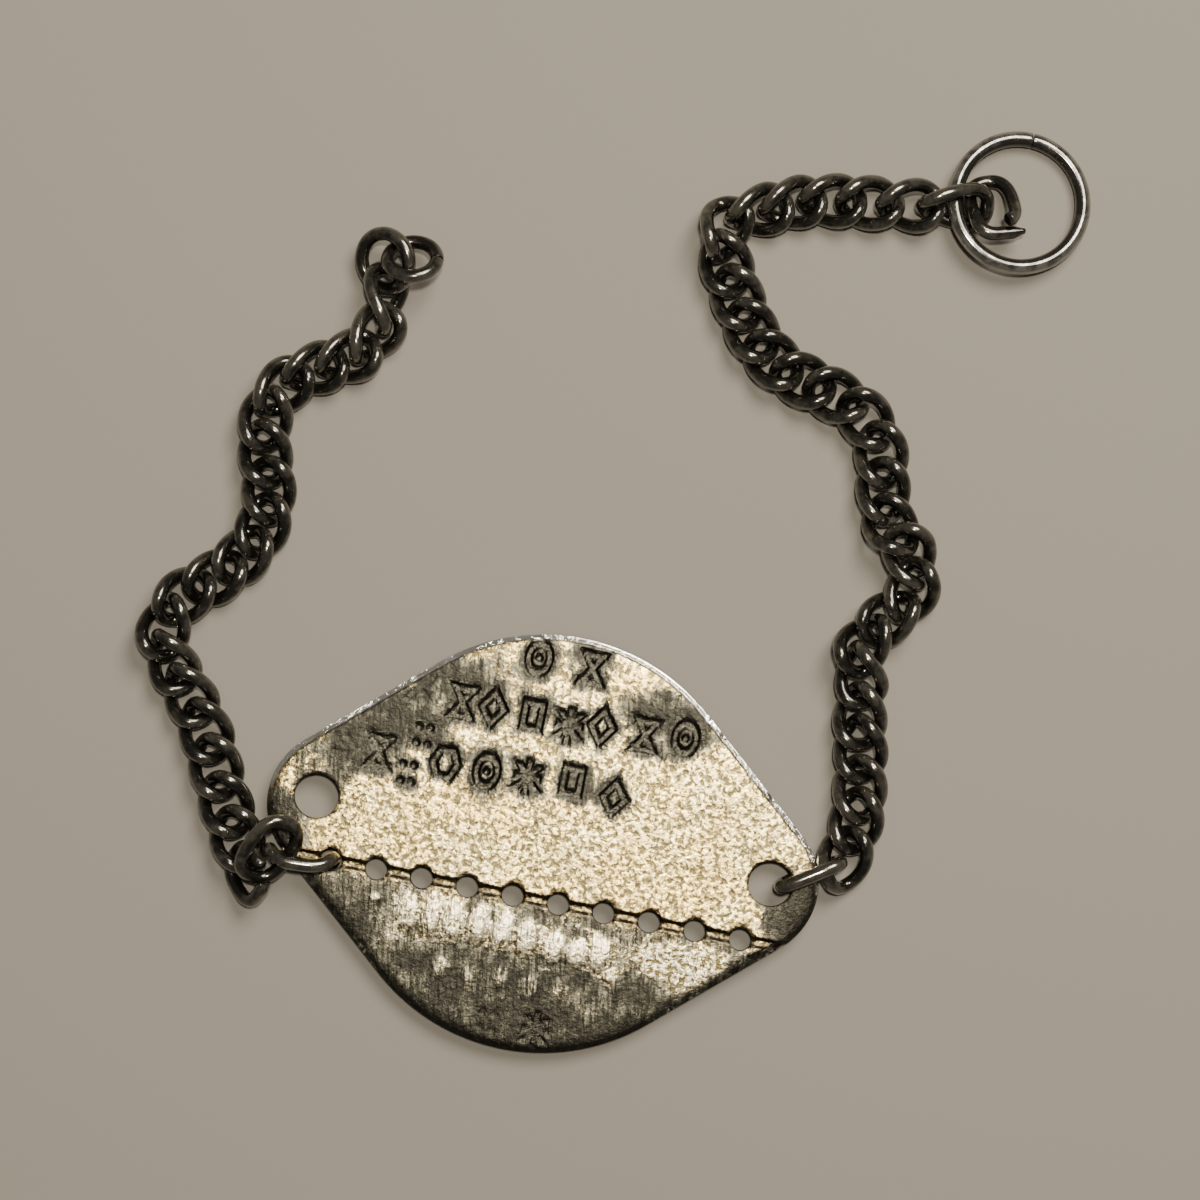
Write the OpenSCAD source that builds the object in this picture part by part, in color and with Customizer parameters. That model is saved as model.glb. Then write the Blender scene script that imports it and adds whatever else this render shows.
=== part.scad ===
// Identity tag bracelet, laid open: a stamped sheet-metal tag with a scored break line,
// two curb chains of different length, the wire links that join them to the tag,
// two jump rings at one free end, and a large round ring with a bent link at the other.
// Millimetres, +Z up, lying on the plane z = 0, origin under the middle of the outline.

/* [Tag] */
// Radius of the round middle of the tag
tag_round = 18.8; // [18.4:0.1:19]
// Radius of the two rounded tips
tip_round = 6.7; // [6.5:0.1:6.8]
// Distance from the middle of the tag to the centre of each tip circle
tip_reach = 18.45; // [18.2:0.05:18.5]
// Thickness of the sheet
sheet = 0.8; // [0.7:0.05:0.9]
// Radius of the two large holes at the tips
large_hole = 2; // [2:0.05:2.1]
// Distance of each large hole from the middle of the tag
large_hole_reach = 20.8; // [20.7:0.05:20.9]
// Radius of the small holes on the break line
small_hole = 1; // [1:0.05:1.1]
// Spacing of the small holes
small_hole_step = 4.17; // [4.1:0.01:4.2]
// Width of the scored groove
score_width = 0.7; // [0.4:0.05:0.9]
// Depth of the groove on the upper face
score_depth = 0.3; // [0.15:0.05:0.35]
// Depth of the groove on the lower face
score_depth_below = 0.15; // [0.1:0.05:0.2]

/* [Links] */
// Thickness of the link wire
wire = 1.3; // [1.1:0.05:1.3]
// Half length of a curb link along its wire centre
link_half_length = 2.6; // [2.55:0.05:2.6]
// Half width of a curb link across its wire centre
link_half_width = 1.9; // [1.85:0.05:1.9]
// Twist of a curb link from end to end
link_twist = -105; // [-110:1:-102]
// Wire sections round a link
link_sections = 16; // [12:4:16]
// Sides of the wire
wire_sides = 6; // [5:1:6]

/* [Rings] */
// Radius of the large ring along its wire centre
clasp_radius = 5.85; // [5.8:0.05:5.9]
// Thickness of the large ring's wire
clasp_wire = 1.4; // [1.2:0.05:1.4]
// Gap between the two cut ends of a bent ring
butt_gap = 0.12; // [0.1:0.01:0.2]

/* [Hidden] */

// Where the middle of the tag lies, its underside and its turn on the ground.
TAG_PLACE = [-6.37, -22.7, 1.5];
TAG_TURN = -11;

// The large holes sit a little above the long axis, the small ones on the break line below.
large_hole_side = 0.3;
break_line = -5.1;
tangent_sink = 0.02;
small_hole_count = 10;
first_small_hole = -18.45;

// How far a cutting tool runs past what it cuts.
cut = 1;

// Columns of every chain's link, from the tag outward: x, y and z of its middle, then its
// roll about its own length, its pitch and its heading.
LEFT_LINKS = [
    [-33.91, -22.33, 1.62, 4.2, 2, 106.5],
    [-34.93, -19.24, 1.62, 2.3, 1.1, 111],
    [-35.86, -15.82, 1.62, -1.4, -0.6, 105.3],
    [-36.79, -12.55, 1.68, -7.1, -1.8, 110.8],
    [-38.25, -9.28, 1.83, -18.4, -2.7, 118.9],
    [-39.83, -6.31, 2, -26.1, -2.6, 116.1],
    [-40.45, -3.21, 2.03, -9.4, 7.5, 76.9],
    [-38.72, -0.47, 1.81, 4.1, 8.2, 37.6],
    [-35.84, 1.21, 1.63, -1.6, -0.5, 30.5],
    [-33.3, 3.2, 1.64, -2.7, -0.7, 46.2],
    [-31.54, 5.91, 1.7, 0.9, -1.9, 68.9],
    [-31.05, 9.03, 1.73, 6.3, 0, 91.3],
    [-31.4, 12.36, 1.69, -0.1, 1.4, 99.2],
    [-31.34, 15.53, 1.72, 2.4, -1.6, 80.2],
    [-29.83, 18.24, 2, 22.1, -1.1, 45.7],
    [-26.94, 19.89, 2.04, 27.2, 1.3, 18.7],
    [-23.87, 20.96, 2.05, 22.6, -2.8, 22.3],
    [-21.5, 23.03, 2.17, 31.6, -1.4, 53.2],
];
RIGHT_LINKS = [
    [20.75, -24.21, 1.69, 5.6, 5.7, 71],
    [21.88, -20.72, 1.64, -7.2, -2.9, 77.3],
    [22.18, -17.86, 1.68, -2.8, 0.5, 89.3],
    [22.24, -14.15, 1.79, -17.1, -3.5, 90.9],
    [22.16, -11.23, 1.87, -17.4, -0.6, 89.6],
    [22.23, -7.58, 2.39, -32.5, -12.7, 94.7],
    [22.42, -4.75, 2.31, -17.2, 13.5, 57],
    [24.84, -2.32, 1.93, -20.4, -0.1, 35.7],
    [26.88, -0.03, 1.94, -1.9, -11.1, 71.3],
    [26.73, 3.2, 2.32, 10.7, -12.2, 112.7],
    [24.91, 5.77, 2.22, 5.8, 18.7, 117.9],
    [24.28, 8.96, 1.61, 4.3, 2.5, 92],
    [24.11, 12.28, 1.65, -2.3, -2.5, 97.4],
    [22.76, 15.45, 1.67, 2, -0.6, 128.1],
    [20.04, 17.56, 1.63, 3.4, 1.2, 155.4],
    [17.04, 18.96, 1.64, -3.4, -1.1, 155.3],
    [14.37, 20.78, 1.66, -1.3, 0.6, 134.9],
    [12.46, 23.38, 1.64, -1.5, 0, 117.6],
    [11.15, 26.43, 1.66, -7.5, -2.4, 110.6],
    [10.08, 29.54, 1.92, -14.5, -6.4, 109.7],
    [9.94, 32.62, 2.36, 19.4, 15.5, 67.5],
    [13.07, 34.15, 2.15, 32.5, 0.2, 14.2],
    [16.03, 34.84, 2.09, 30.5, 1.8, 12],
    [19.63, 35.13, 1.87, 20, 2.7, -1.5],
    [23.04, 34.96, 1.71, 11, 2.6, -3.7],
    [26.65, 34.67, 2.07, 23.5, -2.7, -0.5],
];

// The power that squares the ovals off, 1 being a true oval. The links at the tag have
// straighter ends, where they stand in its holes.
OVAL = 0.75;
SQUARE_OVAL = 0.5;

// Columns of the shape of a closed link: half length, half width, twist from end to end,
// power, and how far one long side bows out of the link's plane.
CURB_LINK = [link_half_length, link_half_width, link_twist, OVAL, 0];
LEFT_TAG_LINK = [2.9, 1.8, 0, SQUARE_OVAL, -1.3];
RIGHT_TAG_LINK = [2.9, 1.8, 0, SQUARE_OVAL, 0];
LOOP_LINK = [3.05, 2, 0, OVAL, 0];
END_LINK = [2.8, 1.85, -90, OVAL, 0];
RING_LINK = [3, 1.9, -60, OVAL, 0];

// Columns of the shape of an open link: half length, half width, the angles at which its
// bend begins and ends, the straight run after the bend, and the rise of one whole turn.
OPEN_LINK = [2.3, 2.1, -103, 183, 1.3, 0];
HOOK_LINK = [2.7, 1.8, -160, 180, 2.4, -1.7];

// Columns of a place: x, y and z of the middle, then roll, pitch and heading.
LEFT_TAG_PLACE = [-28.08, -23.75, 2.37, 109.3, -3.3, 171.8];
LOOP_PLACE = [-30.83, -23.11, 4.11, 32, -16.4, 55];
OPEN_PLACE = [-32.96, -25.38, 2.4, -41.5, 26.4, 122.5];
END_PLACE = [-20.49, 26.27, 2.3, 58, 2.6, 86.3];
RING_ONE_PLACE = [-20.5, 29.61, 2.72, 15.4, -28.9, -4];
RING_TWO_PLACE = [-18.03, 29.7, 3.62, -40.4, -1.1, 0.4];
RING_LINK_PLACE = [30.73, 34.64, 2.1, 50, 12, -2];
HOOK_PLACE = [34.06, 35.16, 2.76, 9.2, 34.1, 102.5];
CLASP_PLACE = [36.53, 34.98, 1.54, -5, 6, 5];

// Radius of each small end ring along its wire centre.
ring_one_radius = 2.5;
ring_two_radius = 2.2;

// The turn of each ring's butt joint about the ring's own axis.
ring_one_joint = -120;
ring_two_joint = -5;
clasp_joint = 72;

// The right tag link stands on edge: where its end passes through the tag's large hole,
// along and across the tag, its heading, and its height above the ground.
right_link_hole = [21.7, large_hole_side];
right_link_heading = 22;
right_link_lift = 0.01;

$fn = 96;

// Squares off a sine or cosine by a power.
function soft(value, power) = sign(value) * pow(abs(value), power);

// A point of an oval's wire centre, twisted about the length of the link.
function oval_point(half_length, half_width, twist, power, angle) =
    let (along = half_length * soft(cos(angle), power),
         across = half_width * soft(sin(angle), power),
         turn = twist / 2 * along / half_length)
    [along, across * cos(turn), across * sin(turn)];

// The wire centre of a closed link.
function closed_line(shape) =
    [for (i = [0:link_sections - 1])
        let (angle = 360 * i / link_sections)
        oval_point(shape[0], shape[1], shape[2], shape[3], angle)
            + [0, 0, shape[4] * pow(max(sin(angle), 0), 2)]];

// The wire centre of an open link: its bend, climbing as it turns, then its straight run.
function open_line(shape) =
    let (bend = [for (i = [0:link_sections - 1])
             let (turned = (shape[3] - shape[2]) * i / (link_sections - 1))
             oval_point(shape[0], shape[1], 0, OVAL, shape[2] + turned)
                 + [0, 0, shape[5] * turned / 360]],
         last = bend[link_sections - 1],
         way = last - bend[link_sections - 2],
         run = way / norm(way) * shape[4])
    concat(bend, [last + run / 2, last + run]);

// The corners of the wire round one point of its centre. The first looks outward.
function wire_corners(point, way) =
    let (along = way / norm(way),
         out = point - along * (point * along),
         up = out / norm(out),
         side = cross(along, up))
    [for (i = [0:wire_sides - 1])
        let (angle = 360 * i / wire_sides)
        point + wire / 2 * (cos(angle) * up + sin(angle) * side)];

// The two triangles between neighbouring corners of two sections.
function wire_patch(near, far, corner) =
    let (next = (corner + 1) % wire_sides)
    [[far + next, near + next, near + corner], [far + corner, far + next, near + corner]];

// A wire whose ends meet.
module closed_wire(line) {
    count = len(line);
    corners = [for (i = [0:count - 1])
        each wire_corners(line[i], line[(i + 1) % count] - line[(i + count - 1) % count])];
    faces = [for (i = [0:count - 1])
        for (corner = [0:wire_sides - 1])
            each wire_patch(i * wire_sides, (i + 1) % count * wire_sides, corner)];
    polyhedron(corners, faces);
}

// A wire with two cut ends.
module open_wire(line) {
    count = len(line);
    corners = [for (i = [0:count - 1])
        each wire_corners(line[i], line[min(i + 1, count - 1)] - line[max(i - 1, 0)])];
    sides = [for (i = [0:count - 2])
        for (corner = [0:wire_sides - 1])
            each wire_patch(i * wire_sides, (i + 1) * wire_sides, corner)];
    first_end = [for (corner = [0:wire_sides - 1]) corner];
    last_end = [for (corner = [wire_sides - 1:-1:0]) (count - 1) * wire_sides + corner];
    polyhedron(corners, concat(sides, [first_end, last_end]));
}

// Lays its children at a place.
module at_place(place) {
    translate([place[0], place[1], place[2]])
        rotate([0, place[4], place[5]])
            rotate([place[3], 0, 0])
                children();
}

// Loose curb links, each at its own place.
module curb_chain(links) {
    for (place = links) {
        at_place(place)
            closed_wire(closed_line(CURB_LINK));
    }
}

// A round ring with a butt joint, lying in the ground plane.
module butt_ring(radius, thickness, joint) {
    difference() {
        rotate_extrude()
            translate([radius, 0])
                circle(d = thickness, $fn = 48);
        rotate([0, 0, joint])
            translate([radius - thickness, -butt_gap / 2, -thickness])
                cube([2 * thickness, butt_gap, 2 * thickness]);
    }
}

// Outline of the tag: a round middle and two tips, joined by straight runs that sink a
// hair's breadth below the common tangents, so that they cross both circles.
module tag_outline() {
    lean = (tag_round - tip_round) / tip_reach;
    rise = sqrt(1 - lean * lean);
    round_in = tag_round - tangent_sink;
    tip_in = tip_round - tangent_sink;
    circle(r = tag_round, $fn = 180);
    for (side = [-1, 1]) {
        translate([side * tip_reach, 0])
            circle(r = tip_round);
    }
    polygon([
        for (corner = [[1, 1], [-1, 1], [-1, -1], [1, -1]])
            let (middle = [corner[0] * round_in * lean, corner[1] * round_in * rise],
                 tip = [corner[0] * (tip_reach + tip_in * lean), corner[1] * tip_in * rise])
            each corner[0] == corner[1] ? [tip, middle] : [middle, tip]
    ]);
}

module tag() {
    color("darkkhaki")
        translate(TAG_PLACE)
            rotate([0, 0, TAG_TURN])
                difference() {
                    linear_extrude(sheet)
                        tag_outline();
                    for (side = [-1, 1]) {
                        translate([side * large_hole_reach, large_hole_side, -cut])
                            cylinder(r = large_hole, h = sheet + 2 * cut, $fn = 64);
                    }
                    for (i = [0:small_hole_count - 1]) {
                        translate([first_small_hole + i * small_hole_step, break_line, -cut])
                            cylinder(r = small_hole, h = sheet + 2 * cut, $fn = 48);
                    }
                    translate([-2 * tag_round, break_line - score_width / 2, sheet - score_depth])
                        cube([4 * tag_round, score_width, score_depth + cut]);
                    translate([-2 * tag_round, break_line - score_width / 2, -cut])
                        cube([4 * tag_round, score_width, score_depth_below + cut]);
                }
}

module left_tag_link() {
    color("dimgray")
        at_place(LEFT_TAG_PLACE)
            closed_wire(closed_line(LEFT_TAG_LINK));
}

module loop_link() {
    color("dimgray")
        at_place(LOOP_PLACE)
            closed_wire(closed_line(LOOP_LINK));
}

module open_link() {
    color("dimgray")
        at_place(OPEN_PLACE)
            open_wire(open_line(OPEN_LINK));
}

module left_chain() {
    color("gray")
        curb_chain(LEFT_LINKS);
}

module end_link() {
    color("gray")
        at_place(END_PLACE)
            closed_wire(closed_line(END_LINK));
}

module end_ring_one() {
    color("slategray")
        at_place(RING_ONE_PLACE)
            butt_ring(ring_one_radius, wire, ring_one_joint);
}

module end_ring_two() {
    color("slategray")
        at_place(RING_TWO_PLACE)
            butt_ring(ring_two_radius, wire, ring_two_joint);
}

module right_tag_link() {
    turned = [right_link_hole[0] * cos(TAG_TURN) - right_link_hole[1] * sin(TAG_TURN),
              right_link_hole[0] * sin(TAG_TURN) + right_link_hole[1] * cos(TAG_TURN)];
    out = RIGHT_TAG_LINK[0];
    color("dimgray")
        at_place([TAG_PLACE[0] + turned[0] + out * cos(right_link_heading),
                  TAG_PLACE[1] + turned[1] + out * sin(right_link_heading),
                  RIGHT_TAG_LINK[1] + wire / 2 + right_link_lift, 90, 0, right_link_heading])
            closed_wire(closed_line(RIGHT_TAG_LINK));
}

module right_chain() {
    color("gray")
        curb_chain(RIGHT_LINKS);
}

module ring_link() {
    color("gray")
        at_place(RING_LINK_PLACE)
            closed_wire(closed_line(RING_LINK));
}

module hook_link() {
    color("dimgray")
        at_place(HOOK_PLACE)
            open_wire(open_line(HOOK_LINK));
}

module clasp_ring() {
    color("lightsteelblue")
        at_place(CLASP_PLACE)
            butt_ring(clasp_radius, clasp_wire, clasp_joint);
}

tag();
left_tag_link();
loop_link();
open_link();
left_chain();
end_link();
end_ring_one();
end_ring_two();
right_tag_link();
right_chain();
ring_link();
hook_link();
clasp_ring();
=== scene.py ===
import math
import random
import bmesh
import bpy
import numpy as np
from mathutils import Matrix, Vector, noise


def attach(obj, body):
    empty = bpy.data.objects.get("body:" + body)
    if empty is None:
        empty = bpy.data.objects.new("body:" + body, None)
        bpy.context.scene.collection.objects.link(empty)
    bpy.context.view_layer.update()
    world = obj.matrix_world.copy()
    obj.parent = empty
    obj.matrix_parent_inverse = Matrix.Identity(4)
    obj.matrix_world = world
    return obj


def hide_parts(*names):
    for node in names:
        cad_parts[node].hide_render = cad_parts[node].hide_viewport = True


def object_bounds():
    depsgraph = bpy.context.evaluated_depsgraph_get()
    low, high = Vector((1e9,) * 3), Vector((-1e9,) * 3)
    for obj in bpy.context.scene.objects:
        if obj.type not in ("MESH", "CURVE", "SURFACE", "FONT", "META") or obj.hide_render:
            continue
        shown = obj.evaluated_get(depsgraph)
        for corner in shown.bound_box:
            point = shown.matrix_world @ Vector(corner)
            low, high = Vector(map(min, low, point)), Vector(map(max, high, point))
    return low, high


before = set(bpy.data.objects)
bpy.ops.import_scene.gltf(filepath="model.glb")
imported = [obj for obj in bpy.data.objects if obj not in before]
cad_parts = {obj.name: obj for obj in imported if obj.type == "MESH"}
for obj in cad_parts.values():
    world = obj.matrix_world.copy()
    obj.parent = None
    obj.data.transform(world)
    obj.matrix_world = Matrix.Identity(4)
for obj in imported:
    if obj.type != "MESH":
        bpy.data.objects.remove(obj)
cad_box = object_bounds()

# The tag: one stamping of sheet steel, lens-shaped, its rim rolled over by wear. Two large
# holes and a row of small ones are punched through, a break line is scored along the small
# ones, and plain marks are struck with hand punches, most of them in three rows above it.
MM = 0.001
# The middle of the tag's back, in millimetres like every size here.
TAG_PLACE = Vector((-6.37, -22.7, 1.5))
TAG_TURN = math.radians(-11)
TAG_ROUND, TIP_ROUND, TIP_REACH = 18.8, 6.7, 18.45
SHEET = 0.8
BREAK_LINE = -5.1
SCORE_HALF_WIDTH, SCORE_DEPTH = 0.35, 0.3
LARGE_HOLE, SMALL_HOLE = 2.0, 1.0
LARGE_HOLE_REACH, LARGE_HOLE_HEIGHT = 20.8, 0.3
FIRST_SMALL_HOLE, SMALL_HOLE_PITCH, SMALL_HOLES = -18.45, 4.17, 10
# Along the tag, across it, radius.
TAG_HOLES = [(side * LARGE_HOLE_REACH, LARGE_HOLE_HEIGHT, LARGE_HOLE) for side in (-1, 1)]
TAG_HOLES += [(FIRST_SMALL_HOLE + SMALL_HOLE_PITCH * i, BREAK_LINE, SMALL_HOLE)
              for i in range(SMALL_HOLES)]
# Along the tag, across it, shape of the punch, depth.
PUNCH_MARKS = [
    (-3.5, 16.3, "target", 0.16), (1.4, 16.3, "hourglass", 0.18),
    (-13.5, 11.7, "cross", 0.06), (-9.5, 11.1, "hourglass", 0.16), (-6.7, 11.1, "lozenge", 0.18),
    (-3.1, 11.1, "square", 0.18), (0.3, 10.9, "star", 0.18), (3.2, 11.3, "lozenge", 0.2),
    (7.2, 11.3, "hourglass", 0.16), (10.8, 11.7, "target", 0.18),
    (-19.5, 5.3, "dots", 0.05), (-16.0, 5.3, "hourglass", 0.12), (-12.4, 7.5, "dots", 0.14),
    (-13.2, 3.9, "dots", 0.14), (-10.0, 5.4, "triangle", 0.18), (-6.2, 5.4, "target", 0.2),
    (-2.5, 5.6, "star", 0.18), (1.5, 6.0, "square", 0.16), (5.5, 5.2, "lozenge", 0.14),
    (2.5, -16.6, "star", 0.1), (-1.9, -16.6, "dots", 0.06),
]
# Where marks struck from the back push the sheet up: along, across, half width, half
# height, lift.
PUSHED_UP = [
    (-10.8, -8.4, 1.2, 1.7, 0.18), (-8.7, -8.3, 1.15, 2.1, 0.24), (-6.6, -8.5, 1.2, 2.0, 0.24),
    (-4.4, -8.2, 1.15, 2.0, 0.25), (-2.1, -8.4, 1.2, 2.1, 0.25), (0.2, -8.5, 1.2, 1.9, 0.22),
    (2.6, -9.0, 1.3, 1.6, 0.2), (4.8, -9.1, 1.2, 1.4, 0.2), (6.8, -8.9, 1.3, 1.7, 0.25),
    (-7.0, -12.5, 0.9, 1.3, 0.08), (-4.2, -12.6, 0.9, 1.4, 0.1), (-1.5, -12.4, 0.9, 1.4, 0.1),
    (1.3, -12.7, 0.9, 1.4, 0.1), (4.0, -12.7, 0.9, 1.3, 0.08), (8.2, -10.7, 0.7, 0.7, 0.14),
    (-13.9, -7.6, 0.7, 0.6, 0.12),
]
# Clouds of tarnish and painted shade (positive), and bright places of rubbed steel and painted
# reflection (negative): along, across, half width, half height, strength.
TARNISH_SHADE_AND_SHEEN_CLOUDS = [
    (-15.7, 8.6, 6.2, 3.6, 0.9), (-11.0, 12.8, 4.8, 3.0, 0.75), (-6.0, 14.6, 4.0, 2.6, 0.4),
    (-0.5, 16.6, 5.0, 1.8, 0.4), (9.0, 13.8, 5.2, 3.4, 0.75), (12.6, 12.2, 3.0, 2.4, 0.4),
    (-19.3, 4.2, 4.6, 3.2, 0.7), (-24.0, -1.0, 2.5, 4.5, 0.6), (23.6, -2.3, 3.8, 4.6, 1.1),
    (-22.5, -2.6, 2.6, 2.8, 0.5), (3.5, 5.6, 4.0, 2.2, 0.4), (-16.5, -9.0, 4.5, 4.5, 0.45),
    (14.9, -8.3, 5.5, 2.4, -0.7), (-2.5, -8.6, 9.0, 1.6, -0.3), (7.0, -8.8, 2.2, 1.8, -0.35),
    (8.5, 1.0, 10.0, 4.0, -0.15), (0.5, 8.6, 8.0, 1.4, -0.3), (13.0, -4.0, 5.0, 1.5, -0.2),
    (-2.0, -13.0, 11.0, 2.6, 0.5), (1.0, -17.0, 12.0, 3.0, 0.4), (10.5, -12.0, 4.0, 2.0, 0.3),
]


def smooth(low, high, value):
    """0 below low, 1 above high, and a soft step between."""
    t = min(max((value - low) / (high - low), 0), 1)
    return t * t * (3 - 2 * t)


def inside_edge(x, y):
    """Distance from a point of the tag in to its outline."""
    lean = (TAG_ROUND - TIP_ROUND) / TIP_REACH
    rise = math.sqrt(1 - lean * lean)
    x, y = abs(x), abs(y)
    along = x * rise - y * lean
    if along < 0:
        return TAG_ROUND - math.hypot(x, y)
    if along > TIP_REACH * rise:
        return TIP_ROUND - math.hypot(x - TIP_REACH, y)
    return TAG_ROUND - x * lean - y * rise


def stroke_distance(shape, x, y):
    """Distance to the middle of a punch's strokes."""
    x, y = abs(x), abs(y)
    if shape == "target":
        return min(abs(math.hypot(x / 0.95, y / 1.3) - 1), math.hypot(x, y))
    if shape == "hourglass":
        return min(max(abs(x * 0.84 - y * 0.54), y - 1.3), max(abs(y - 1.25), x - 0.8))
    if shape == "cross":
        return max(abs(x * 0.77 - y * 0.64), math.hypot(x, y) - 1.4)
    if shape == "square":
        return abs(max(x - 0.75, y - 1.15))
    if shape == "star":
        return min(max(x, y - 1.3), max(y, x - 0.9), max(abs(x * 0.77 - y * 0.64), y - 0.9))
    if shape == "lozenge":
        return abs(x + y / 1.4 - 1) * 0.8
    if shape == "triangle":
        return abs(max(y - 1.2, x * 0.9 + y * 0.4 - 1))
    return math.hypot(x - 0.5, y - 0.75)


# From the middle of a punch's stroke: its flat floor ends, its wall ends, its smudge ends.
STROKE_FLOOR, STROKE_WALL, SMUDGE = 0.16, 0.46, 1.5


def mark_profile(x, y):
    """Depth struck by the punches at a point, and how near the point is to a mark."""
    deep, near = 0.0, 0.0
    for mx, my, shape, depth in PUNCH_MARKS:
        if abs(x - mx) < 2.6 and abs(y - my) < 3.0:
            d = stroke_distance(shape, x - mx, y - my)
            deep = max(deep, depth * (1 - smooth(STROKE_FLOOR, STROKE_WALL, d)))
            near = max(near, min(depth * 7, 1) * (1 - smooth(0.15, SMUDGE, d)) ** 1.6)
    return deep, near


def pushed_profile(x, y):
    """Lift of the sheet at a point where a mark from the back pushes it up."""
    lift = 0.0
    for px, py, half_x, half_y, height in PUSHED_UP:
        d = math.hypot((x - px) / half_x, (y - py) / half_y)
        if d < 1.25:
            lift = max(lift, height * (1 - smooth(0.35, 1.2, d)))
    return lift


# How far the rolled edges of the rim and of the holes sink, and how wide they are. The lip
# of pushed-up steel along the score stands this high, this far from the score's middle.
RIM_SINK, RIM_WIDTH, HOLE_SINK, HOLE_WIDTH = 0.3, 0.8, 0.08, 0.25
BACK_RIM_SINK, BACK_SCORE_DEPTH = 0.12, 0.15
LIP_HEIGHT, LIP_AT, SHEET_WAVE = 0.05, 0.62, 0.04


def tag_heights(x, y):
    """Heights of the upper and of the lower face over the tag's level back."""
    edge = inside_edge(x, y)
    hole = min(math.hypot(x - hx, y - hy) - r for hx, hy, r in TAG_HOLES)
    roll = (1 - smooth(-0.05, RIM_WIDTH, edge)) ** 1.5
    hole_roll = HOLE_SINK * (1 - smooth(0, HOLE_WIDTH, hole))
    score = 1 - smooth(SCORE_HALF_WIDTH - 0.1, SCORE_HALF_WIDTH + 0.1, abs(y - BREAK_LINE))
    lip = LIP_HEIGHT * (1 - smooth(0.05, 0.3, abs(abs(y - BREAK_LINE) - LIP_AT)))
    wave = SHEET_WAVE * noise.noise(Vector((x * 0.16, y * 0.16, 3)))
    top = (SHEET - RIM_SINK * roll - hole_roll - SCORE_DEPTH * score + lip
           - mark_profile(x, y)[0] + pushed_profile(x, y) + wave)
    return top, BACK_RIM_SINK * roll + hole_roll + BACK_SCORE_DEPTH * score


# Tarnish everywhere, tarnish and painted shade below the break line, and painted shade toward the
# lower rim.
EVEN_TARNISH, BELOW_TARNISH_AND_SHADE, LOW_PAINTED_SHADE = 0.12, 0.46, 0.3


def tarnish_and_painted_light_at(x, y):
    """How dark the sheet is at a point, from 0 bright to 1 black: tarnish, painted shade and
    painted reflection together.
    """
    amount = (EVEN_TARNISH + BELOW_TARNISH_AND_SHADE * (1 - smooth(-6.2, -5.0, y))
              + LOW_PAINTED_SHADE * (1 - smooth(-18.5, -9.5, y)))
    for cx, cy, half_x, half_y, strength in TARNISH_SHADE_AND_SHEEN_CLOUDS:
        d = math.hypot((x - cx) / half_x, (y - cy) / half_y)
        ragged = 0.35 * noise.noise(Vector((x * 0.45, y * 0.45, cx)))
        amount += strength * (1 - smooth(0.25, 1.15, d + ragged))
    amount += 0.12 * noise.noise(Vector((x * 0.3, y * 0.3, 9)))
    return min(max(amount, 0), 1)


def rim_painted_light_at(x, y):
    """How far a point belongs to the rolled rim: above 0 where a highlight is painted on the
    upper rim, below 0 where shade is painted on the lower rim.
    """
    edge = inside_edge(x, y)
    return ((1 - smooth(0.18, 0.6, edge)) * smooth(-1.5, 2.5, y)
            - (1 - smooth(0.2, 1.2, edge)) * (1 - smooth(-3.0, 1.0, y)))


def scored_at(x, y):
    """How dark the groove of the break line is, and how much painted shadow lies round a hole,
    most at its upper edge.
    """
    groove = abs(abs(y - BREAK_LINE) - SCORE_HALF_WIDTH)
    amount = max(1 - smooth(0.1, 0.38, groove), 0.6 * (groove < SCORE_HALF_WIDTH))
    for hx, hy, r in TAG_HOLES:
        gap = math.hypot(x - hx, y - hy) - r
        reach = 0.5 if r == SMALL_HOLE else 0.35
        if gap < reach:
            above = smooth(-0.6, 0.6, (y - hy) / r)
            amount = max(amount, (1 - smooth(0.08, reach, gap)) * (0.35 + 0.65 * above))
    return amount


# The longest edges that the mesh keeps in the groove, at marks, on bulges, on plain sheet
# and on the back.
GROOVE_EDGE, MARK_EDGE, BULGE_EDGE, PLAIN_EDGE, BACK_EDGE = 0.24, 0.19, 0.26, 0.9, 1.6


def finest_edge(x, y):
    """Longest edge that the mesh keeps at a point: short where the sheet is worked."""
    if abs(y - BREAK_LINE) < 0.7:
        return GROOVE_EDGE
    if any(abs(x - mx) < 1.6 and abs(y - my) < 1.8 for mx, my, shape, depth in PUNCH_MARKS):
        return MARK_EDGE
    if any(math.hypot((x - px) / hx, (y - py) / hy) < 1.25 for px, py, hx, hy, h in PUSHED_UP):
        return BULGE_EDGE
    return PLAIN_EDGE


def new_piece(name, bm, node, material):
    """Turns a bmesh in millimetres into a finished piece that stands for a CAD node.

    Round wire bulges a hair past the flats of the solids where it touches the ground, so
    each vertex is held inside their box, as steel is rubbed flat where it rests.
    """
    bmesh.ops.transform(bm, matrix=Matrix.Scale(MM, 4), verts=bm.verts[:])
    low, high = cad_box
    for v in bm.verts:
        v.co = Vector([min(max(v.co[i], low[i]), high[i]) for i in range(3)])
    bmesh.ops.recalc_face_normals(bm, faces=bm.faces[:])
    for face in bm.faces:
        face.smooth = True
    mesh = bpy.data.meshes.new(name)
    bm.to_mesh(mesh)
    bm.free()
    mesh.materials.append(material)
    piece = bpy.data.objects.new(name, mesh)
    bpy.context.scene.collection.objects.link(piece)
    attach(piece, "root")
    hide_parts(node)
    return piece


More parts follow.
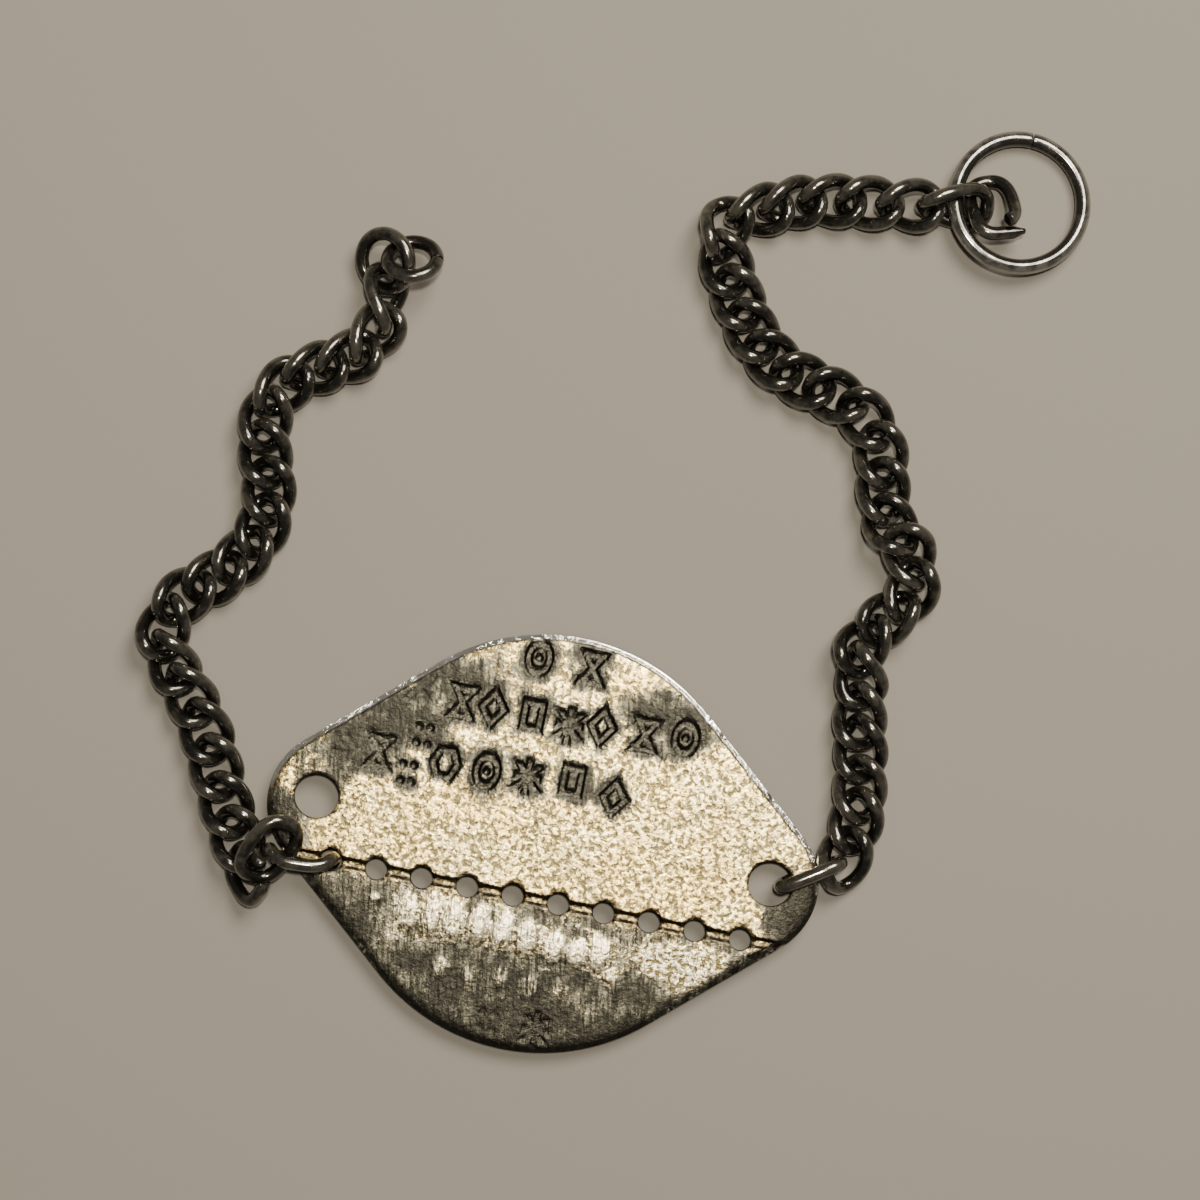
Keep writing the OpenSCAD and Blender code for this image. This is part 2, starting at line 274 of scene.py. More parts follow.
class Shader:
    """A metal's node tree, with short calls for the few kinds of node that it needs."""

    def __init__(self, name):
        self.material = bpy.data.materials.new(name)
        self.material.use_nodes = True
        self.tree = self.material.node_tree
        self.surface = self.tree.nodes["Principled BSDF"]
        self.surface.inputs["Metallic"].default_value = 1.0

    def set(self, socket, value):
        if isinstance(value, bpy.types.NodeSocket):
            self.tree.links.new(value, socket)
        elif isinstance(value, tuple) and len(value) == 3 and socket.type == "RGBA":
            socket.default_value = (*value, 1)
        else:
            socket.default_value = value

    def place(self, location=(0, 0, 0), turn=0.0, stretch=(1, 1, 1)):
        """Object coordinates in millimetres, in a frame of their own, stretched."""
        coordinates = self.tree.nodes.new("ShaderNodeTexCoord")
        frame_node = self.tree.nodes.new("ShaderNodeMapping")
        frame_node.vector_type = "TEXTURE"
        frame_node.inputs["Location"].default_value = [value * MM for value in location]
        frame_node.inputs["Rotation"].default_value = (0, 0, turn)
        frame_node.inputs["Scale"].default_value = [MM / value for value in stretch]
        self.tree.links.new(coordinates.outputs["Object"], frame_node.inputs["Vector"])
        return frame_node.outputs["Vector"]

    def noise(self, where, scale, detail=2.0, roughness=0.5, distortion=0.0):
        node = self.tree.nodes.new("ShaderNodeTexNoise")
        self.tree.links.new(where, node.inputs["Vector"])
        node.inputs["Scale"].default_value = scale
        node.inputs["Detail"].default_value = detail
        node.inputs["Roughness"].default_value = roughness
        node.inputs["Distortion"].default_value = distortion
        return node.outputs["Fac"]

    def attribute(self, name):
        node = self.tree.nodes.new("ShaderNodeAttribute")
        node.attribute_name = name
        return node.outputs["Fac"]

    def step(self, value, low, high, out_low=0.0, out_high=1.0):
        """A soft step from out_low to out_high."""
        node = self.tree.nodes.new("ShaderNodeMapRange")
        node.interpolation_type = "SMOOTHSTEP"
        for name, amount in (("Value", value), ("From Min", low), ("From Max", high),
                             ("To Min", out_low), ("To Max", out_high)):
            self.set(node.inputs[name], amount)
        return node.outputs["Result"]

    def math(self, kind, one, two=0.0, clamp=False):
        node = self.tree.nodes.new("ShaderNodeMath")
        node.operation = kind
        node.use_clamp = clamp
        self.set(node.inputs[0], one)
        self.set(node.inputs[1], two)
        return node.outputs["Value"]

    def mix(self, amount, one, two):
        node = self.tree.nodes.new("ShaderNodeMix")
        node.data_type = "RGBA"
        self.set(node.inputs[0], amount)
        self.set(node.inputs[6], one)
        self.set(node.inputs[7], two)
        return node.outputs[2]

    def bump(self, height, strength, distance, below=None):
        node = self.tree.nodes.new("ShaderNodeBump")
        node.inputs["Strength"].default_value = strength
        node.inputs["Distance"].default_value = distance * MM
        self.set(node.inputs["Height"], height)
        if below is not None:
            self.tree.links.new(below, node.inputs["Normal"])
        return node.outputs["Normal"]

    def finish(self, colour, roughness, normal):
        self.set(self.surface.inputs["Base Color"], colour)
        self.set(self.surface.inputs["Roughness"], roughness)
        self.tree.links.new(normal, self.surface.inputs["Normal"])
        return self.material


OUTLINE_STEPS, LARGE_HOLE_STEPS, SMALL_HOLE_STEPS = 300, 48, 32
# Widths of the narrow bands that the rolled edges need, from an edge inward.
EDGE_BANDS = (0.07, 0.11, 0.16, 0.25)
# The back lies this far down while the mesh is cut finer, and both faces are set after it.
BACK, BETWEEN = -1.0, -0.5
BACK_TARNISH, CUT_ROUNDS = 0.6, 8
bm = bmesh.new()
bmesh.ops.create_circle(bm, cap_ends=False, segments=OUTLINE_STEPS, radius=1)
for v in bm.verts:
    angle = math.atan2(v.co.y, v.co.x)
    centre, radius = max(((-TIP_REACH, TIP_ROUND), (0, TAG_ROUND), (TIP_REACH, TIP_ROUND)),
                         key=lambda circle: circle[0] * math.cos(angle) + circle[1])
    v.co = Vector((centre + radius * math.cos(angle), radius * math.sin(angle), 0))
for hx, hy, r in TAG_HOLES:
    steps = LARGE_HOLE_STEPS if r == LARGE_HOLE else SMALL_HOLE_STEPS
    bmesh.ops.create_circle(bm, cap_ends=False, segments=steps, radius=r,
                            matrix=Matrix.Translation((hx, hy, 0)))
bmesh.ops.triangle_fill(bm, use_beauty=True, use_dissolve=False, edges=bm.edges[:],
                        normal=(0, 0, 1))
sheet_faces = bm.faces[:]
for width in EDGE_BANDS:
    bmesh.ops.inset_region(bm, faces=sheet_faces, thickness=width, use_boundary=True,
                           use_even_offset=True)
back = bmesh.ops.duplicate(bm, geom=bm.verts[:] + bm.edges[:] + bm.faces[:])["geom"]
back_verts = [item for item in back if isinstance(item, bmesh.types.BMVert)]
bmesh.ops.translate(bm, verts=back_verts, vec=(0, 0, BACK))
for _ in range(CUT_ROUNDS):
    long_edges = []
    for e in bm.edges:
        middle = (e.verts[0].co + e.verts[1].co) / 2
        finest = finest_edge(middle.x, middle.y) if middle.z > BETWEEN else BACK_EDGE
        if not e.is_boundary and e.calc_length() > finest * 1.3:
            long_edges.append(e)
    if not long_edges:
        break
    bmesh.ops.subdivide_edges(bm, edges=long_edges, cuts=1)
    bmesh.ops.triangulate(bm, faces=[f for f in bm.faces if len(f.verts) > 3])
    bmesh.ops.beautify_fill(bm, faces=bm.faces[:], method="AREA",
                            edges=[e for e in bm.edges if not e.is_boundary])
top_rim = [e for e in bm.edges if e.is_boundary and e.verts[0].co.z > BETWEEN]
wall = bmesh.ops.extrude_edge_only(bm, edges=top_rim)["geom"]
bmesh.ops.translate(bm, verts=[v for v in wall if isinstance(v, bmesh.types.BMVert)],
                    vec=(0, 0, BACK))
bmesh.ops.remove_doubles(bm, verts=bm.verts[:], dist=0.0005)
tarnish_and_painted_light = bm.verts.layers.float.new("tarnish_and_painted_light")
struck = bm.verts.layers.float.new("struck")
scored = bm.verts.layers.float.new("scored")
pushed = bm.verts.layers.float.new("pushed")
rim_painted_light = bm.verts.layers.float.new("rim_painted_light")
for v in bm.verts:
    x, y = v.co.x, v.co.y
    high, low = tag_heights(x, y)
    upper = v.co.z > BETWEEN
    # Tarnish with painted shade and painted reflection on the upper face, plain tarnish on the
    # back.
    v[tarnish_and_painted_light] = tarnish_and_painted_light_at(x, y) if upper else BACK_TARNISH
    v[struck] = mark_profile(x, y)[1] if upper else 0.0
    v[scored] = scored_at(x, y)
    v[pushed] = pushed_profile(x, y) * 5 if upper else 0.0
    v[rim_painted_light] = rim_painted_light_at(x, y) if upper else 0.0
    v.co.z = high if upper else low
tag_matrix = Matrix.Translation(TAG_PLACE) @ Matrix.Rotation(TAG_TURN, 4, "Z")
bmesh.ops.transform(bm, matrix=tag_matrix, verts=bm.verts[:])

# Cream steel flecked and veined with brown where it is rubbed, scratched grey in the clouds
# and below the break line, black in the deepest tarnish and painted shade, with a painted glint
# on the bulges, a painted highlight on the upper rim and painted shade on the lower rim.
RUBBED_CREAM, RUBBED_TAN, RUBBED_BELOW = (1.0, 0.79, 0.36), (1.0, 0.70, 0.24), (0.92, 0.79, 0.50)
FLECK_BROWN, VEIN_BROWN = (0.13, 0.10, 0.042), (0.16, 0.125, 0.06)
SCRATCH_DARK, SCRATCH_GREY = (0.030, 0.027, 0.019), (0.145, 0.132, 0.090)
TARNISH_AND_SHADE_BLACK, GROOVE_DARK_AND_HOLE_SHADOW = (0.026, 0.024, 0.018), (0.03, 0.024, 0.018)
BULGE_PAINTED_GLINT, RIM_PAINTED_HIGHLIGHT = (0.74, 0.64, 0.42), (1.0, 0.95, 0.85)
SCRATCH_LEAN = math.radians(8)
sh = Shader("worn tag steel with painted light")
where = sh.place(TAG_PLACE, TAG_TURN)
drawn = sh.place(TAG_PLACE, TAG_TURN + SCRATCH_LEAN, (2.4, 0.3, 1.0))
peel = sh.noise(where, 2.2, 3.0, 0.62, 0.3)
grain = sh.noise(where, 6.0, 3.0, 0.6)
clouds = sh.noise(where, 0.55, 4.0, 0.6, 0.4)
stain = sh.noise(where, 0.22, 3.0, 0.5, 0.6)
veins = sh.noise(where, 1.25, 4.0, 0.62, 0.7)
scratches = sh.noise(drawn, 1.6, 3.0, 0.6)
position = sh.tree.nodes.new("ShaderNodeSeparateXYZ")
sh.tree.links.new(where, position.inputs["Vector"])
below_line = sh.step(position.outputs["Y"], -7.5, -5.0, 1.0, 0.0)
# Darkness of the tag: tarnish mixed with painted shade and painted reflection, darker round
# struck marks, lighter under painted highlights on bulges and upper rim.
dark_with_painted_light = sh.math("ADD", sh.attribute("tarnish_and_painted_light"), sh.math("MULTIPLY", sh.attribute("struck"), 0.95))
dark_with_painted_light = sh.math("ADD", dark_with_painted_light, sh.step(clouds, 0.3, 0.7, -0.28, 0.28))
# Painted highlight: the bulges of pushed-up steel are made lighter.
dark_with_painted_light = sh.math("SUBTRACT", dark_with_painted_light, sh.math("MULTIPLY", sh.attribute("pushed"), 0.75))
dark_with_painted_light = sh.math("ADD", dark_with_painted_light, sh.step(grain, 0.35, 0.65, -0.1, 0.1))
# Painted highlight lightens the upper rim and painted shade darkens the lower rim.
dark_with_painted_light = sh.math("SUBTRACT", dark_with_painted_light, sh.math("MULTIPLY", sh.attribute("rim_painted_light"), 0.5), clamp=True)
cream = sh.mix(sh.step(stain, 0.35, 0.65), RUBBED_CREAM, RUBBED_TAN)
cream = sh.mix(below_line, cream, RUBBED_BELOW)
bright_steel = sh.mix(sh.step(peel, 0.44, 0.57), FLECK_BROWN, cream)
vein = sh.step(sh.math("ABSOLUTE", sh.math("SUBTRACT", veins, 0.5)), 0.0, 0.03, 0.75, 0.0)
bright_steel = sh.mix(vein, bright_steel, VEIN_BROWN)
# A painted glint on the bulges, broken into streaks by the scratches and veins.
bulge_glint_streaks = sh.math("MULTIPLY", sh.step(scratches, 0.38, 0.56, 0.25, 1.15),
                 sh.step(veins, 0.4, 0.6, 0.65, 1.2))
bulge_glint = sh.step(sh.math("MULTIPLY", sh.attribute("pushed"), bulge_glint_streaks), 0.2, 1.0)
grey_steel = sh.mix(sh.step(scratches, 0.36, 0.64), SCRATCH_DARK, SCRATCH_GREY)
colour = sh.mix(sh.step(dark_with_painted_light, 0.2, 0.62), bright_steel, grey_steel)
# Black where the tarnish and the painted shade are deepest.
colour = sh.mix(sh.step(dark_with_painted_light, 0.58, 1.0, 0.0, 0.9), colour, TARNISH_AND_SHADE_BLACK)
# Darker in the groove of the break line, and painted shadow round each hole, strongest at its
# upper edge.
colour = sh.mix(sh.math("MULTIPLY", sh.attribute("scored"), 0.95), colour, GROOVE_DARK_AND_HOLE_SHADOW)
colour = sh.mix(bulge_glint, colour, BULGE_PAINTED_GLINT)
# A painted highlight along the upper rim.
colour = sh.mix(sh.step(sh.attribute("rim_painted_light"), 0.1, 0.9), colour, RIM_PAINTED_HIGHLIGHT)
rough = sh.step(dark_with_painted_light, 0.0, 1.0, 0.3, 0.44)
rough = sh.math("SUBTRACT", rough, sh.step(sh.attribute("rim_painted_light"), 0.1, 0.9, 0.0, 0.15))
rough = sh.math("SUBTRACT", rough, sh.step(sh.attribute("struck"), 0.3, 0.9, 0.0, 0.14))
level = sh.step(sh.attribute("rim_painted_light"), 0.0, 0.6, 1.0, 0.0)
relief = sh.bump(sh.math("MULTIPLY", peel, level), 0.8, 0.13)
relief = sh.bump(vein, 0.4, -0.03, relief)
relief = sh.bump(sh.math("MULTIPLY", scratches, below_line), 0.7, 0.12, relief)
relief = sh.bump(sh.math("MULTIPLY", grain, level), 0.3, 0.02, relief)
new_piece("tag_plate", bm, "tag", sh.finish(colour, rough, relief))

# The left tag link: an oval of round wire, bowed upward over the tag's edge, which hangs in
# the first small hole of the break line. Its wire is bent cold and its ends meet.
WIRE = 1.27
# How square an oval is: 1 is an ellipse, and less is squarer.
OVAL, SQUARE_OVAL = 0.75, 0.5
WIRE_SIDES, WIRE_SECTIONS, LINE_STEPS = 14, 56, 720
# An open wire is spun this far round before it is bent, and each cut end gets this bevel.
OPEN_SPREAD, CUT_BEVEL = math.radians(300), 0.03
# The part of an open wire's length, from its end, over which pliers have pinched it flat.
PINCHED_PART = 0.07
# Half length and half width along the wire's centre, and how far one long side bows out.
TAG_LINK_LENGTH, TAG_LINK_WIDTH, TAG_LINK_BOW = 2.9, 1.8, -1.3
# Each place is x, y, z, roll, pitch, heading, in millimetres and degrees.
LEFT_TAG_LINK_PLACE = (-28.08, -23.75, 2.37, 109.3, -3.3, 171.8)


def oval_line(half_length, half_width, twist=0, power=OVAL, bow=0.0, first=0, last=360, rise=0.0):
    """Close points of a wire's centre round an oval, twisted about its length or bowed up."""
    line = []
    for i in range(LINE_STEPS + (last - first < 360)):
        degrees = first + (last - first) * i / LINE_STEPS
        across_part = math.sin(math.radians(degrees))
        along_part = math.cos(math.radians(degrees))
        along = half_length * math.copysign(abs(along_part) ** power, along_part)
        across = half_width * math.copysign(abs(across_part) ** power, across_part)
        turn = math.radians(twist) / 2 * along / half_length
        lift = bow * max(across_part, 0) ** 2 + rise * (degrees - first) / 360
        line.append(Vector((along, across * math.cos(turn), across * math.sin(turn) + lift)))
    return line


def even_points(line, count, closed):
    """The same line as points at even steps, its first point kept."""
    lengths = [0.0]
    path = line + [line[0]] if closed else line
    for near, far in zip(path, path[1:]):
        lengths.append(lengths[-1] + (far - near).length)
    points = []
    spot = 0
    for i in range(count):
        goal = lengths[-1] * i / (count if closed else count - 1)
        while spot < len(path) - 2 and lengths[spot + 1] < goal:
            spot += 1
        part = (goal - lengths[spot]) / (lengths[spot + 1] - lengths[spot])
        points.append(path[spot].lerp(path[spot + 1], part))
    return points


def wire_link(line, closed, matrix, tone, thickness=WIRE, sections=WIRE_SECTIONS, pinch=0.0):
    """Round wire along a line: a circle spun into a ring of tube, then bent onto the line."""
    points = even_points(line, sections, closed)
    bm = bmesh.new()
    start = bmesh.ops.create_circle(bm, cap_ends=False, segments=WIRE_SIDES, radius=0.25,
                                    matrix=Matrix.Translation((1, 0, 0))
                                    @ Matrix.Rotation(math.pi / 2, 4, "X"))
    ring = start["verts"] + bm.edges[:]
    spread = math.tau if closed else OPEN_SPREAD
    bmesh.ops.spin(bm, geom=ring, cent=(0, 0, 0), axis=(0, 0, 1), angle=spread,
                   steps=sections if closed else sections - 1, use_merge=closed)
    wear_and_inner_shade = bm.verts.layers.float.new("wear_and_inner_shade")
    shade = bm.verts.layers.float.new("shade")
    step = spread / (sections if closed else sections - 1)
    for v in bm.verts:
        turned = math.atan2(v.co.y, v.co.x) % math.tau
        at = round(turned / step)
        if closed:
            at %= sections
            way = points[(at + 1) % sections] - points[at - 1]
        else:
            at = 0 if turned > spread + step / 2 else at
            way = points[min(at + 1, sections - 1)] - points[max(at - 1, 0)]
        way.normalize()
        point = points[at]
        up = (point - way * point.dot(way)).normalized()
        side = way.cross(up)
        corner = math.atan2(-v.co.z, math.hypot(v.co.x, v.co.y) - 1)
        flat = 1.0
        if pinch and not closed:
            left = (sections - 1 - at) / (sections - 1)
            flat = 1 - pinch * (1 - smooth(0.0, PINCHED_PART, left))
        # Worn on the outside of the bend, painted shade toward the inside.
        v[wear_and_inner_shade] = 0.5 + 0.5 * math.cos(corner)
        v[shade] = tone
        v.co = point + thickness / 2 * (math.cos(corner) * up * flat + math.sin(corner) * side)
    if not closed:
        rims = [e for e in bm.edges if e.is_boundary]
        caps = bmesh.ops.holes_fill(bm, edges=rims, sides=0)["faces"]
        bmesh.ops.bevel(bm, geom=[e for f in caps for e in f.edges], offset=CUT_BEVEL, segments=2,
                        offset_type="OFFSET", profile=0.5, affect="EDGES", material=-1)
    bmesh.ops.transform(bm, matrix=matrix, verts=bm.verts[:])
    return bm


def set_down(x, y, z, roll, pitch, heading):
    """A link's place, turned about its length, tipped and then headed over the ground."""
    return (Matrix.Translation((x, y, z)) @ Matrix.Rotation(math.radians(heading), 4, "Z")
            @ Matrix.Rotation(math.radians(pitch), 4, "Y")
            @ Matrix.Rotation(math.radians(roll), 4, "X"))


WIRE_BROWN = (0.10, 0.08, 0.045)


def steel_wire(name, deep, clean, gloss):
    """Wire steel: black painted shade on the inner side of each bend, rubbed outside, with a
    little dirt and fine pits.
    """
    sh = Shader(name)
    sh.surface.inputs["Metallic"].default_value = 0.85
    sh.surface.inputs["Coat Weight"].default_value = 0.6
    sh.surface.inputs["Coat Roughness"].default_value = 0.05
    where = sh.place()
    patches = sh.noise(where, 0.9, 4.0, 0.6, 0.3)
    pits = sh.noise(where, 5.0, 3.0, 0.65)
    fine = sh.noise(where, 16.0, 2.0, 0.5)
    wear_and_shade = sh.math("ADD", sh.attribute("wear_and_inner_shade"), sh.step(patches, 0.3, 0.7, -0.35, 0.25))
    wear_and_shade = sh.math("ADD", wear_and_shade, sh.math("MULTIPLY", sh.attribute("shade"), 0.25))
    # The deep colour is painted shade on the inner side of the bend, the clean colour the worn
    # outside.
    colour = sh.mix(sh.step(wear_and_shade, 0.4, 1.3), deep, clean)
    colour = sh.mix(sh.step(patches, 0.55, 0.75, 0.0, 0.35), colour, WIRE_BROWN)
    dirt = sh.step(pits, 0.56, 0.68)
    rough = sh.math("ADD", sh.step(wear_and_shade, 0.3, 1.2, gloss + 0.08, gloss),
                    sh.math("MULTIPLY", dirt, 0.16))
    relief = sh.bump(pits, 0.12, 0.02)
    relief = sh.bump(fine, 0.1, 0.004, relief)
    return sh.finish(colour, rough, relief)


link_steel = steel_wire("link wire steel", deep=(0.022, 0.0195, 0.014),
                        clean=(0.14, 0.126, 0.098), gloss=0.15)
tag_link_line = oval_line(TAG_LINK_LENGTH, TAG_LINK_WIDTH, 0, SQUARE_OVAL, TAG_LINK_BOW)
bm = wire_link(tag_link_line, True, set_down(*LEFT_TAG_LINK_PLACE), tone=0.2)
new_piece("left_tag_link_wire", bm, "left_tag_link", link_steel)

# The loop link: a larger oval of the same wire, bent cold and closed without solder. It
# stands up between the tag link and the open link.
LOOP_LENGTH, LOOP_WIDTH = 3.05, 2.0
LOOP_PLACE = (-30.83, -23.11, 4.11, 32, -16.4, 55)
bm = wire_link(oval_line(LOOP_LENGTH, LOOP_WIDTH), True, set_down(*LOOP_PLACE), tone=0.3)
new_piece("loop_link_wire", bm, "loop_link", link_steel)

# The open link: a round of the same wire whose two cut ends meet in a pinched point, as
# pliers leave them. It takes the first curb link of the shorter chain.
OPEN_LENGTH, OPEN_WIDTH, OPEN_TAIL = 2.3, 2.1, 1.3
OPEN_PLACE = (-32.96, -25.38, 2.4, -41.5, 26.4, 122.5)
TAIL_STEPS = 20


def with_tail(line, tail):
    """The line and a straight run on from its last point."""
    way = (line[-1] - line[-2]).normalized()
    return line + [line[-1] + way * tail * i / TAIL_STEPS for i in range(1, TAIL_STEPS + 1)]


open_line = with_tail(oval_line(OPEN_LENGTH, OPEN_WIDTH, first=-103, last=183), OPEN_TAIL)
bm = wire_link(open_line, False, set_down(*OPEN_PLACE), tone=0.1, pinch=0.6)
new_piece("open_link_wire", bm, "open_link", link_steel)

# The shorter curb chain: oval links of one wire, each twisted a quarter turn and more so
# that the chain lies flat, all by one hand. Their joints are closed without solder.
CURB_LENGTH, CURB_WIDTH, CURB_TWIST = 2.6, 1.9, -105
# Corners of the solids' triangles nearer than this are one corner.
SAME_CORNER = 0.001 * MM
rng = random.Random(7)


def loose_solids(node):
    """The corners, in millimetres, of each loose solid of a CAD node, from a merged copy."""
    bm = bmesh.new()
    bm.from_mesh(bpy.data.objects[node].data)
    bmesh.ops.remove_doubles(bm, verts=bm.verts[:], dist=SAME_CORNER)
    solids = []
    for first in bm.verts:
        if first.tag:
            continue
        first.tag = True
        corners = [first]
        for v in corners:
            for e in v.link_edges:
                far = e.other_vert(v)
                if not far.tag:
                    far.tag = True
                    corners.append(far)
        solids.append([v.co / MM for v in corners])
    bm.free()
    return solids


def link_place(corners):
    """A curb link's own frame: its centre, and its length, width and thickness as axes."""
    points = np.array(corners, dtype=float)
    centre = points.mean(axis=0)
    _, axes = np.linalg.eigh(np.cov((points - centre).T))
    along, across = Vector(axes[:, 2]), Vector(axes[:, 1])
    turn = Matrix((along, across, along.cross(across))).transposed()
    return Matrix.Translation(centre) @ turn.to_4x4()


def curb_chain(node):
    """Every link of a chain in one bmesh where its solid lies, from the tag outward, each
    with a tone of its own."""
    places = [link_place(corners) for corners in loose_solids(node)]
    chain = bmesh.new()
    line = oval_line(CURB_LENGTH, CURB_WIDTH, CURB_TWIST)
    near = TAG_PLACE
    while places:
        matrix = min(places, key=lambda place: (place.translation - near).length)
        places.remove(matrix)
        near = matrix.translation
        link = wire_link(line, True, matrix, rng.random())
        holder = bpy.data.meshes.new("link")
        link.to_mesh(holder)
        link.free()
        chain.from_mesh(holder)
        bpy.data.meshes.remove(holder)
    return chain


chain_steel = steel_wire("chain wire steel", deep=(0.02, 0.018, 0.0132),
                         clean=(0.13, 0.117, 0.09), gloss=0.14)
new_piece("left_chain_links", curb_chain("left_chain"), "left_chain", chain_steel)

# The end link: the last of the shorter chain, of the same wire but twisted less than the
# rest. It takes the two jump rings.
END_LENGTH, END_WIDTH, END_TWIST = 2.8, 1.85, -90
END_PLACE = (-20.49, 26.27, 2.3, 58, 2.6, 86.3)
end_line = oval_line(END_LENGTH, END_WIDTH, END_TWIST)
bm = wire_link(end_line, True, set_down(*END_PLACE), tone=0.5)
new_piece("end_link_wire", bm, "end_link", chain_steel)

# The two jump rings at the free end of the shorter chain: round rings of the same wire, cut
# square and closed butt to butt without solder.
RING_ONE, RING_ONE_JOINT = 2.5, -120
RING_ONE_PLACE = (-20.5, 29.61, 2.72, 15.4, -28.9, -4)
RING_TWO, RING_TWO_JOINT = 2.2, -5
RING_TWO_PLACE = (-18.03, 29.7, 3.62, -40.4, -1.1, 0.4)
HALF_JOINT = 0.06
RING_SECTIONS = 64


def butt_ring(radius, thickness, joint, matrix, tone, sections):
    """A round ring of wire, open by a hair's breadth at its joint."""
    half_gap = math.degrees(HALF_JOINT / radius)
    line = oval_line(radius, radius, 0, 1, first=joint + half_gap, last=joint + 360 - half_gap)
    return wire_link(line, False, matrix, tone, thickness, sections)


bm = butt_ring(RING_ONE, WIRE, RING_ONE_JOINT, set_down(*RING_ONE_PLACE),
               tone=0.4, sections=RING_SECTIONS)
new_piece("end_ring_one_wire", bm, "end_ring_one", link_steel)
bm = butt_ring(RING_TWO, WIRE, RING_TWO_JOINT, set_down(*RING_TWO_PLACE),
               tone=0.2, sections=RING_SECTIONS)
new_piece("end_ring_two_wire", bm, "end_ring_two", link_steel)

# The right tag link: a flat oval of the same wire, without a bow. It stands on edge through
# the large hole of the right tip, and its inner bend lies just beyond the hole's centre.
RIGHT_TAG_LINK_BEND = (21.7, 0.3, 0)
RIGHT_TAG_LINK_HEADING = 22
ABOVE_GROUND = 0.01
bend = tag_matrix @ Vector(RIGHT_TAG_LINK_BEND)
way = Matrix.Rotation(math.radians(RIGHT_TAG_LINK_HEADING), 3, "Z") @ Vector((1, 0, 0))
middle = bend + way * TAG_LINK_LENGTH
middle.z = TAG_LINK_WIDTH + WIRE / 2 + ABOVE_GROUND
matrix = set_down(*middle, 90, 0, RIGHT_TAG_LINK_HEADING)
flat_link_line = oval_line(TAG_LINK_LENGTH, TAG_LINK_WIDTH, 0, SQUARE_OVAL)
bm = wire_link(flat_link_line, True, matrix, tone=0.3)
new_piece("right_tag_link_wire", bm, "right_tag_link", link_steel)

# The longer curb chain: the same links of the same wire, joined in the same way. It runs
# from the right tag link to the ring link.
bm = curb_chain("right_chain")
new_piece("right_chain_links", bm, "right_chain", chain_steel)

# The ring link: the last of the longer chain, of the same wire but twisted less than the
# rest. It takes the hook link.
RING_LINK_LENGTH, RING_LINK_WIDTH, RING_LINK_TWIST = 3.0, 1.9, -60
RING_LINK_PLACE = (30.73, 34.64, 2.1, 50, 12, -2)
ring_link_line = oval_line(RING_LINK_LENGTH, RING_LINK_WIDTH, RING_LINK_TWIST)
bm = wire_link(ring_link_line, True, set_down(*RING_LINK_PLACE), tone=0.6)
new_piece("ring_link_wire", bm, "ring_link", chain_steel)

# The hook link: wire bent over the large ring, one end cut short under the bend, the other
# a straight tail with a pinched tip.
HOOK_LENGTH, HOOK_WIDTH, HOOK_RISE, HOOK_TAIL = 2.7, 1.8, -1.7, 2.4
HOOK_PLACE = (34.06, 35.16, 2.76, 9.2, 34.1, 102.5)
hook_bend = oval_line(HOOK_LENGTH, HOOK_WIDTH, first=-160, last=180, rise=HOOK_RISE)
hook_line = with_tail(hook_bend, HOOK_TAIL)
bm = wire_link(hook_line, False, set_down(*HOOK_PLACE), tone=0.7, pinch=0.55)
new_piece("hook_link_wire", bm, "hook_link", link_steel)

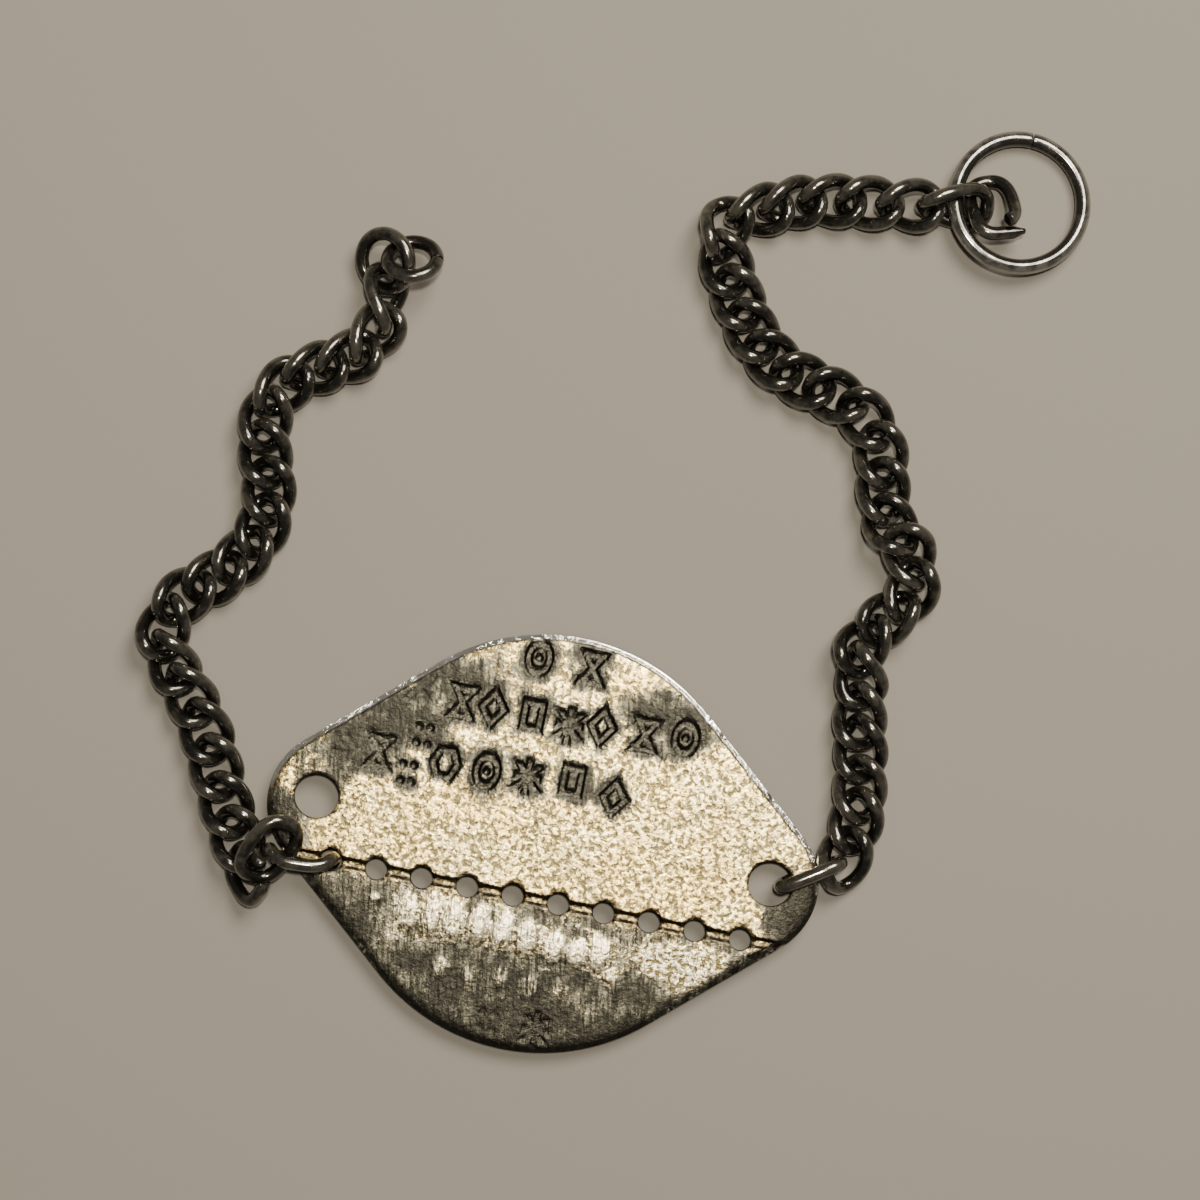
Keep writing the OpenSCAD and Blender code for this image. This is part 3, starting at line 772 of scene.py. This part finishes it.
# The large ring that the longer chain ends in: thicker, cleaner polished steel wire, closed
# butt to butt.
LARGE_RING, LARGE_RING_WIRE, LARGE_RING_JOINT = 5.85, 1.4, 72
LARGE_RING_PLACE = (36.53, 34.98, 1.54, -5, 6, 5)
LARGE_RING_SECTIONS = 120
ring_steel = steel_wire("polished ring steel", deep=(0.04, 0.036, 0.029),
                        clean=(0.27, 0.253, 0.215), gloss=0.10)
bm = butt_ring(LARGE_RING, LARGE_RING_WIRE, LARGE_RING_JOINT, set_down(*LARGE_RING_PLACE),
               tone=0.9, sections=LARGE_RING_SECTIONS)
new_piece("clasp_ring_wire", bm, "clasp_ring", ring_steel)

# The plain pale ground that the bracelet lies on, the lamps and the camera. One large soft
# lamp stands toward the top of the picture, and a small one gives the wire its sharp lights.
GROUND_SIZE, GROUND_GREY = 3, (0.157, 0.142, 0.113, 1)
bpy.ops.mesh.primitive_plane_add(size=GROUND_SIZE)
ground = bpy.context.object
ground.name = "ground"
paper = bpy.data.materials.new("pale ground")
paper.use_nodes = True
paper_surface = paper.node_tree.nodes["Principled BSDF"]
paper_surface.inputs["Base Color"].default_value = GROUND_GREY
paper_surface.inputs["Roughness"].default_value = 0.9
ground.data.materials.append(paper)


def lamp(name, place, size, power, colour):
    """A round lamp that faces the middle of the bracelet."""
    light = bpy.data.lights.new(name, "AREA")
    light.shape = "DISK"
    light.size = size
    light.energy = power
    light.color = colour
    holder = bpy.data.objects.new(name, light)
    holder.location = place
    holder.rotation_euler = (-Vector(place)).to_track_quat("-Z", "Y").to_euler()
    bpy.context.scene.collection.objects.link(holder)


lamp("soft lamp", (0.16, 0.24, 0.42), size=0.26, power=4.4, colour=(1.0, 0.955, 0.88))
lamp("small lamp", (0.02, 0.05, 0.5), size=0.035, power=3.0, colour=(1.0, 0.95, 0.87))
world = bpy.data.worlds.new("studio")
world.use_nodes = True
sky = world.node_tree.nodes["Background"]
sky.inputs["Color"].default_value = (1.0, 0.97, 0.93, 1)
sky.inputs["Strength"].default_value = 0.16
bpy.context.scene.world = world

CAMERA_PLACE, LENS, SENSOR_WIDTH = (-0.00124, -0.00081, 0.3219), 106.67, 36
camera_data = bpy.data.cameras.new("camera")
camera_data.lens = LENS
camera_data.sensor_width = SENSOR_WIDTH
camera = bpy.data.objects.new("camera", camera_data)
camera.location = CAMERA_PLACE
bpy.context.scene.collection.objects.link(camera)
bpy.context.scene.camera = camera
